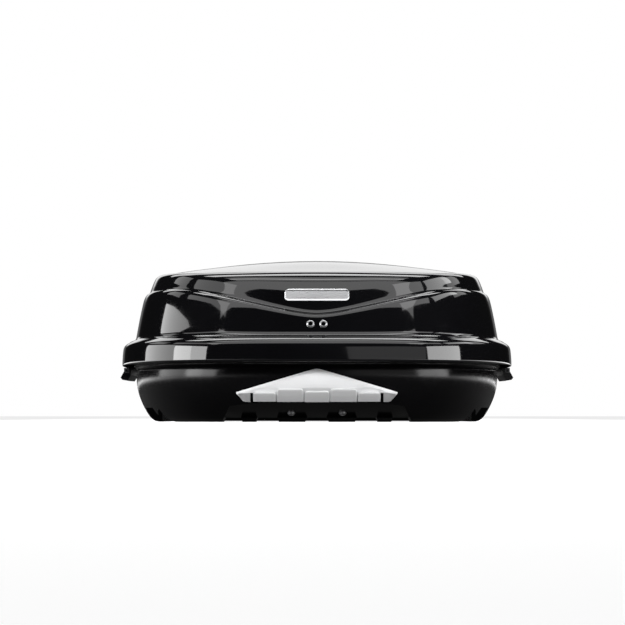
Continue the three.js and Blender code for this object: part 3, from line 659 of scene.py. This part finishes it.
# ---------------------------------------------------------------- silver tail insert
INSERT = {"apex": 111, "end_x": 168, "end_z": 61, "foot_x": 154, "foot_z": 43}
INSERT_BLOCKS = [
    {"x0": -25.5, "x1": 25.5, "foot": 41.5, "top": 64.5},
    {"x0": 28, "x1": 83, "foot": 42, "top": 69.5},
    {"x0": 85.5, "x1": 132, "foot": 42.5, "top": 62},
]
PLATE_PROUD, PLATE_BACK = 17, 1.8
INSERT_SLOT = {"x0": 132.6, "x1": 138.2, "top": 60.5, "depth": -1.2}
# The plate has a bevelled border; its face leans out down to PROW_Z and back in below LOW_LEAN_Z.
PLATE_BORDER = {"width": 5.5, "edge": 0.8, "rise": 3.4}
PROW_LEAN, PROW_Z = 0.4, 71
LOW_LEAN, LOW_LEAN_Z = 0.14, 64
BLOCK = {"corner": 6, "side_round": 2.5, "top_round": 3, "sunk": 1, "step": 1.2, "rise": 2.6, "lean": 0.1}
BLOCK_EDGE = 0.35  # share of a block's height that is left at its side edges
INSERT_END = {
    "x0": 138.5, "x1": 163, "foot_turn": 150, "foot_run": 13, "foot_rise": 14,
    "top": 61.0, "top_turn": 141, "top_run": 22, "top_fall": 1.5, "step": 1.2, "lean": 6,
}
V_ROUND = 5  # half width over which the point of the V is rounded


def tail_y(x, z):
    """Where the base's tail is at x and z."""
    insets = np.array([row[0] for row in BASE_OUTSIDE])
    heights = np.array([row[1] for row in BASE_OUTSIDE])
    inset = np.interp(z, heights, insets)
    n = REAR_SQUARENESS
    share = np.clip(1 - (np.abs(x) / (HALF_WIDTH - inset)) ** n, 0, 1) ** (1 / n)
    return WIDEST_Y - (REAR_REACH - inset) * share


def panel_faces(across, up):
    """Faces of a closed panel from a grid of front points and the same grid of back points."""
    width = across + 1
    count = width * (up + 1)
    faces = []
    for j in range(up):
        for i in range(across):
            a = j * width + i
            faces.append((a, a + 1, a + 1 + width, a + width))
            faces.append((count + a, count + a + width, count + a + 1 + width, count + a + 1))
    rim = [*range(width), *[j * width + across for j in range(1, up + 1)]]
    rim += [up * width + i for i in range(across - 1, -1, -1)] + [j * width for j in range(up - 1, 0, -1)]
    return faces + [(a, count + a, count + b, b) for a, b in zip(rim, rim[1:] + rim[:1])]


def relief(x0, x1, low, high, proud, across, up):
    """Points and faces of a closed panel on the tail. low and high give its edges' heights at x, and proud
    how far it stands out at x and at a share of its height."""
    xs = np.linspace(x0, x1, across + 1)
    shares = np.linspace(0, 1, up + 1)
    front = []
    for share in shares:
        z = low(xs) + (high(xs) - low(xs)) * share
        front.append(np.stack([xs, tail_y(xs, z) - proud(xs, share), z], axis=1))
    front = np.concatenate(front)
    back = front.copy()
    back[:, 1] = tail_y(back[:, 0], back[:, 2]) + PLATE_BACK
    return np.concatenate([front, back]), panel_faces(across, up)


def v_edge(x):
    """Height of the insert's upper edge, a shallow V upside down."""
    fall = (INSERT["apex"] - INSERT["end_z"]) / INSERT["end_x"]
    return INSERT["apex"] + 1.5 - fall * np.hypot(x, V_ROUND)


def insert_plate():
    end_x, end_z, foot_x, foot_z = (INSERT[k] for k in ("end_x", "end_z", "foot_x", "foot_z"))

    def low(x):
        beyond = np.clip((np.abs(x) - foot_x) / (end_x - foot_x), 0, 1)
        return foot_z + (end_z - 1 - foot_z) * beyond

    def proud(x, share):
        from_top = (1 - share) * (v_edge(x) - low(x))
        z = v_edge(x) - from_top
        width = PLATE_BORDER["width"]
        border = PLATE_BORDER["edge"] + PLATE_BORDER["rise"] * np.clip(from_top / width, 0, 1)
        leaning = v_edge(x) - width - PROW_Z
        along = np.clip((from_top - width) / np.maximum(leaning, 1), 0, 1)
        face = border + PROW_LEAN * np.maximum(leaning, 0) * along
        face = face - LOW_LEAN * np.maximum(LOW_LEAN_Z - z, 0)
        in_slot = (np.abs(x) > INSERT_SLOT["x0"]) & (np.abs(x) < INSERT_SLOT["x1"])
        return np.where(in_slot & (z < INSERT_SLOT["top"]), INSERT_SLOT["depth"], face)

    return relief(-end_x, end_x, low, v_edge, proud, 224, 44)


def insert_block(x0, x1, foot, top):
    corner = BLOCK["corner"]

    def high(x):
        inside = np.clip(np.minimum(x - x0, x1 - x) / corner, 0, 1)
        return top - corner * (1 - np.sqrt(1 - (1 - inside) ** 2))

    def low(x):
        return np.full_like(x, foot)

    def proud(x, share):
        down = (1 - share) * (top - foot)
        side = np.clip(np.minimum(x - x0, x1 - x) / BLOCK["side_round"], 0, 1)
        crown = np.sqrt(1 - (1 - side) ** 2)
        rise = np.sqrt(np.clip(down / BLOCK["top_round"], 0, 1))
        height = BLOCK["rise"] * rise + BLOCK["step"] - BLOCK["lean"] * down
        return PLATE_PROUD - BLOCK["sunk"] + height * (BLOCK_EDGE + (1 - BLOCK_EDGE) * crown)

    return relief(x0, x1, low, high, proud, 28, 22)


def insert_end(side):
    end = INSERT_END

    def low(x):
        along = np.clip((np.abs(x) - end["foot_turn"]) / end["foot_run"], 0, 1)
        return INSERT["foot_z"] - 1 + along * end["foot_rise"]

    def high(x):
        along = np.clip((np.abs(x) - end["top_turn"]) / end["top_run"], 0, 1)
        return end["top"] - along * end["top_fall"]

    def proud(x, share):
        return np.full_like(x, PLATE_PROUD + end["step"] - end["lean"] * (1 - share))

    x0, x1 = sorted((side * end["x0"], side * end["x1"]))
    return relief(x0, x1, low, high, proud, 12, 10)


def build_insert():
    parts = [insert_plate(), insert_end(-1), insert_end(1)]
    for block in INSERT_BLOCKS:
        sides = [1] if block["x0"] < 0 else [-1, 1]
        for side in sides:
            x0, x1 = sorted((side * block["x0"], side * block["x1"]))
            parts.append(insert_block(x0, x1, block["foot"], block["top"]))
    points, faces, start = [], [], 0
    for part_points, part_faces in parts:
        points.append(part_points)
        faces += [tuple(start + i for i in face) for face in part_faces]
        start += len(part_points)
    insert = new_mesh("silver_tail_insert", np.concatenate(points), faces, 28)
    fit_out(insert, "base", ["diffuser_insert"], MATERIALS["silver_paint"])


build_insert()


# ---------------------------------------------------------------- fasteners and badge
def turned(profile, centre, outward, steps=40):
    """Points and faces of a turned solid; the profile is (radius, height along outward), axis to axis."""
    axis = Vector(outward).normalized()
    turn = axis.to_track_quat("Z", "Y").to_matrix()
    points, faces = [], []
    for radius, height in profile:
        for i in range(steps):
            angle = 2 * math.pi * i / steps
            local = Vector((radius * math.cos(angle), radius * math.sin(angle), height))
            points.append(tuple(turn @ local + Vector(centre)))
    for r in range(len(profile) - 1):
        for i in range(steps):
            j = (i + 1) % steps
            faces.append((r * steps + i, r * steps + j, (r + 1) * steps + j, (r + 1) * steps + i))
    return points, faces


BUTTON_HEAD = [
    (0.0, -8.0), (5.6, -8.0), (5.6, 0.0), (8.3, 0.0), (8.3, 0.9), (7.9, 1.3), (7.2, 1.5), (6.9, 2.6),
    (6.3, 3.5), (5.5, 3.9), (4.9, 3.7), (4.6, 3.2), (4.6, -3.4), (0.0, -3.8),
]


def build_screw(name, node, body, centre, outward):
    points, faces = turned(BUTTON_HEAD, centre, outward)
    screw = new_mesh(name, points, faces, 35)
    fit_out(screw, body, [node], MATERIALS["screw_steel"])


LID_SCREW = {"x": 13.5, "y": -922.5, "z": 204, "tilt": 0.18}
RAMP_SCREW = {"x": 54, "y": -856}


def build_screws():
    ramp_z = RAMP["foot_z"] + RAMP["slope"] * (RAMP["foot_y"] - RAMP_SCREW["y"])
    for side, end in ((-1, "left"), (1, "right")):
        centre = (side * LID_SCREW["x"], LID_SCREW["y"], LID_SCREW["z"])
        build_screw(f"lid_bolt_{end}", f"lid_screw_{end}", "lid", centre, (0, -1, LID_SCREW["tilt"]))
        centre = (side * RAMP_SCREW["x"], RAMP_SCREW["y"], ramp_z)
        build_screw(f"ramp_bolt_{end}", f"diffuser_screw_{end}", "base", centre, (0, -RAMP["slope"], -1))


build_screws()


BADGE = {"half": 68, "low": 252.5, "high": 278.5, "corner": 9, "offset": 46.6, "back": 1.2}
# Distances from the plate's edge over which its border rises and falls, and how far.
BADGE_BORDER = {"foot": 1.2, "rise": 1.6, "outer": 1.2, "start": 2.4, "inner": 0.8, "sink": 0.7}


def build_badge():
    """A blank plate with softened corners and a raised border, on the lid's tail."""
    half, low_z, high_z, corner = (BADGE[k] for k in ("half", "low", "high", "corner"))
    border = BADGE_BORDER

    def lid_tail_y(x, z):
        inset = BADGE["offset"] - SIDE_OUT * (x / CREASE_SIDE_X) ** 2 + lean(z)
        share = (1 - (np.abs(x) / (HALF_WIDTH - inset)) ** REAR_SQUARENESS) ** (1 / REAR_SQUARENESS)
        return WIDEST_Y - (REAR_REACH - inset) * share

    across, up = 80, 20
    xs = np.linspace(-half, half, across + 1)
    inside = np.clip((half - np.abs(xs)) / corner, 0, 1)
    trim = corner * (1 - np.sqrt(1 - (1 - inside) ** 2))
    front = []
    for share in np.linspace(0, 1, up + 1):
        z = low_z + trim + (high_z - low_z - 2 * trim) * share
        edge = np.minimum(half - np.abs(xs), (high_z - low_z) * min(share, 1 - share))
        proud = border["foot"] + border["rise"] * np.clip(edge / border["outer"], 0, 1)
        proud -= border["sink"] * np.clip((edge - border["start"]) / border["inner"], 0, 1)
        front.append(np.stack([xs, lid_tail_y(xs, z) - proud, z], axis=1))
    front = np.concatenate(front)
    back = front.copy()
    back[:, 1] = lid_tail_y(back[:, 0], back[:, 2]) + BADGE["back"]
    badge = new_mesh("blank_badge", np.concatenate([front, back]), panel_faces(across, up), 50)
    fit_out(badge, "lid", ["badge_plate"], MATERIALS["bright_chrome"])


build_badge()

# ---------------------------------------------------------------- carried-over parts
CAD_ROUNDING = 0.6


def dress_cad_nodes():
    """Every CAD node that keeps its mesh gets its slot's material, rounded edges and smooth shading."""
    slots = {s["node"]: s["material_slot"] for s in frame["record"]["subparts"]}
    for name, node in frame["nodes"].items():
        if node.hide_render:
            continue
        node.data.materials.clear()
        node.data.materials.append(MATERIALS[slots[name]])
        smooth(node, 35)
        bevel(node, CAD_ROUNDING)


dress_cad_nodes()

# ---------------------------------------------------------------- studio
EYE_Z = 14
EYE_DISTANCE = 6000
LENS = 167.2
SENSOR = 36
AIM_UP, AIM_LEFT = 2.03, 0.087  # degrees


def build_camera():
    data = bpy.data.cameras.new("camera")
    data.lens, data.sensor_width = LENS, SENSOR
    data.clip_start, data.clip_end = 0.05, 60
    camera = bpy.data.objects.new("camera", data)
    camera.location = (0, (TAIL_Y - EYE_DISTANCE) * MM, EYE_Z * MM)
    camera.rotation_euler = (math.radians(90 + AIM_UP), 0, math.radians(AIM_LEFT))
    bpy.context.scene.collection.objects.link(camera)
    bpy.context.scene.camera = camera


def sheet(name, corners, material):
    """A flat stage sheet; corners in metres."""
    mesh = bpy.data.meshes.new(name)
    mesh.from_pydata(corners, [], [(0, 1, 2, 3)])
    made = bpy.data.objects.new(name, mesh)
    made.data.materials.append(material)
    bpy.context.scene.collection.objects.link(made)
    return made


def seen_or_reflected(tree, seen, reflected, output):
    """Shows one shader to the camera and another to every other ray."""
    rays = tree.nodes.new("ShaderNodeLightPath")
    mix = tree.nodes.new("ShaderNodeMixShader")
    tree.links.new(rays.outputs["Is Camera Ray"], mix.inputs["Fac"])
    tree.links.new(reflected, mix.inputs[1])
    tree.links.new(seen, mix.inputs[2])
    tree.links.new(mix.outputs["Shader"], output.inputs["Surface"])


# The floor's tone changes between these distances from the middle line, in metres.
SEEN_EDGE, REFLECTED_EDGE = (0.55, 1.0), (1.35, 2.6)
FLOOR_HALF = 40


def pale_floor():
    """White to the camera with the box's soft shadow, and dark in reflections, to keep the tub black."""
    n = Nodes("pale_floor", Specular_IOR_Level=0.0)
    n.shader.inputs["Emission Color"].default_value = (1, 1, 1, 1)
    n.link(n.spread(n.noise(30, 3), 0.75, 0.85), "Roughness")
    dark = n.tree.nodes.new("ShaderNodeBsdfPrincipled")
    dark.inputs["Base Color"].default_value = (0.025, 0.025, 0.025, 1)
    dark.inputs["Specular IOR Level"].default_value = 0
    dark.inputs["Emission Color"].default_value = (1, 1, 1, 1)
    split = n.tree.nodes.new("ShaderNodeSeparateXYZ")
    n.tree.links.new(n.place, split.inputs["Vector"])
    aside = n.tree.nodes.new("ShaderNodeMath")
    aside.operation = "ABSOLUTE"
    n.tree.links.new(split.outputs["X"], aside.inputs[0])
    glow = n.spread(aside.outputs["Value"], 0.03, 1.7, *REFLECTED_EDGE)
    n.tree.links.new(glow, dark.inputs["Emission Strength"])
    pale, dim = (0.88, 0.88, 0.88), (0.03, 0.03, 0.03)
    n.link(n.tones(aside.outputs["Value"], pale, dim, *SEEN_EDGE), "Base Color")
    n.link(n.spread(aside.outputs["Value"], 0.8, 0.84, *SEEN_EDGE), "Emission Strength")
    output = n.tree.nodes["Material Output"]
    seen_or_reflected(n.tree, n.shader.outputs["BSDF"], dark.outputs["BSDF"], output)
    return n.material


def softbox(name, location, target, size, radiance):
    """A soft light panel, unseen by the camera; size in metres."""
    data = bpy.data.lights.new(name, "AREA")
    data.shape = "RECTANGLE"
    data.size, data.size_y = size
    data.energy = radiance * math.pi * size[0] * size[1]
    light = bpy.data.objects.new(name, data)
    light.location = location
    light.visible_camera = False
    direction = Vector(target) - Vector(location)
    light.rotation_euler = direction.to_track_quat("-Z", "Y").to_euler()
    bpy.context.scene.collection.objects.link(light)
    return light


# The pale wall that reflections see: how its brightness grows with the direction's Y, |X| and Z, each as
# the range of the part and the brightness at both ends. The camera's surround grows with Y alone.
WALL_AHEAD = (0.955, 0.975, 0.0, 1.0)
WALL_ASIDE = (0.16, 0.23, 1.0, 0.03)
WALL_ABOVE = (0.065, 0.1, 0.16, 1.15)
ROOM_DIM = 0.006
SURROUND = (0.84, 0.95, 0.84, 1.0)


def white_room():
    """A white surround for the camera; reflections see a dark room with a pale wall in front of the nose."""
    world = bpy.data.worlds.new("studio")
    world.use_nodes = True
    tree = world.node_tree
    tree.nodes.clear()
    place = tree.nodes.new("ShaderNodeTexCoord")
    split = tree.nodes.new("ShaderNodeSeparateXYZ")
    tree.links.new(place.outputs["Generated"], split.inputs["Vector"])

    def ease(value, start, end, low, high):
        node = tree.nodes.new("ShaderNodeMapRange")
        node.interpolation_type = "SMOOTHSTEP"
        node.inputs["From Min"].default_value, node.inputs["From Max"].default_value = start, end
        node.inputs["To Min"].default_value, node.inputs["To Max"].default_value = low, high
        tree.links.new(value, node.inputs["Value"])
        return node.outputs["Result"]

    aside = tree.nodes.new("ShaderNodeMath")
    aside.operation = "ABSOLUTE"
    tree.links.new(split.outputs["X"], aside.inputs[0])
    glow = ease(aside.outputs["Value"], *WALL_ASIDE)
    for factor in (ease(split.outputs["Y"], *WALL_AHEAD), ease(split.outputs["Z"], *WALL_ABOVE)):
        product = tree.nodes.new("ShaderNodeMath")
        product.operation = "MULTIPLY"
        tree.links.new(glow, product.inputs[0])
        tree.links.new(factor, product.inputs[1])
        glow = product.outputs["Value"]
    dim = tree.nodes.new("ShaderNodeMath")
    dim.operation = "ADD"
    dim.inputs[1].default_value = ROOM_DIM
    tree.links.new(glow, dim.inputs[0])
    room = tree.nodes.new("ShaderNodeBackground")
    tree.links.new(dim.outputs["Value"], room.inputs["Strength"])
    white = tree.nodes.new("ShaderNodeBackground")
    white.inputs["Color"].default_value = (1, 1, 1, 1)
    tree.links.new(ease(split.outputs["Y"], *SURROUND), white.inputs["Strength"])
    output = tree.nodes.new("ShaderNodeOutputWorld")
    seen_or_reflected(tree, white.outputs["Background"], room.outputs["Background"], output)
    bpy.context.scene.world = world


# Each panel is its name, location, target, size and radiance, in metres.
PANELS = [
    ("left_low", (-3.6, -1.93, 0.61), (-0.3, -0.9, 0.2), (2.76, 1.18), 5.5),
    ("right_low", (3.6, -1.93, 0.61), (0.3, -0.9, 0.2), (2.76, 1.18), 5.0),
    ("right_soft", (2.4, -5.5, 0.8), (0.2, -0.9, 0.2), (4.6, 1.5), 0.45),
    ("left_band", (-4.0, 0.3, 0.74), (-0.3, 0.3, 0.74), (5.0, 1.26), 2.2),
    ("left_high", (-3.58, -1.92, 2.45), (-0.3, -0.85, 0.28), (4.4, 0.95), 1.2),
    ("right_high", (3.1, -2.85, 2.45), (0.3, -0.85, 0.28), (2.6, 0.95), 1.6),
    ("right_high_side", (3.67, 0.1, 2.45), (0.3, -0.85, 0.28), (3.1, 0.95), 2.4),
    ("rear_top", (0, -3.8, 3.1), (0, -0.9, 0.3), (8.4, 1.9), 1.5),
    ("overhead_strip", (0, -1.75, 2.8), (0, -0.95, 0.2), (3.6, 0.3), 2.5),
    ("overhead_wide", (0, -1.75, 2.95), (0, -1.75, 0.2), (3.6, 1.5), 1.3),
    ("overhead_ahead", (0, 0.15, 2.9), (0, -0.95, 0.25), (4.0, 0.9), 4.8),
    ("front_high", (0, 4.5, 3.2), (0, -0.9, 0.2), (6, 2.0), 1.3),
    ("side_left", (-4.0, 2.4, 2.6), (0, 0.8, 0.2), (2.4, 1.2), 0.8),
    ("side_right", (4.0, 2.4, 2.6), (0, 0.8, 0.2), (2.4, 1.2), 0.8),
]
# Lights the silver insert without a highlight on the lid.
TAIL_KEY = ("tail_key", (0, -4.9, 3.2), (0, -0.95, 0.1), (3, 1.5), 6.5)


def build_studio():
    white_room()
    corners = [(x * FLOOR_HALF, y * FLOOR_HALF, 0) for x, y in ((-1, -1), (1, -1), (1, 1), (-1, 1))]
    sheet("floor", corners, pale_floor())
    for panel in PANELS:
        softbox(*panel)
    softbox(*TAIL_KEY).visible_glossy = False
    bpy.context.scene.view_settings.view_transform = "Standard"
    bpy.context.scene.view_settings.look = "None"


build_camera()
build_studio()
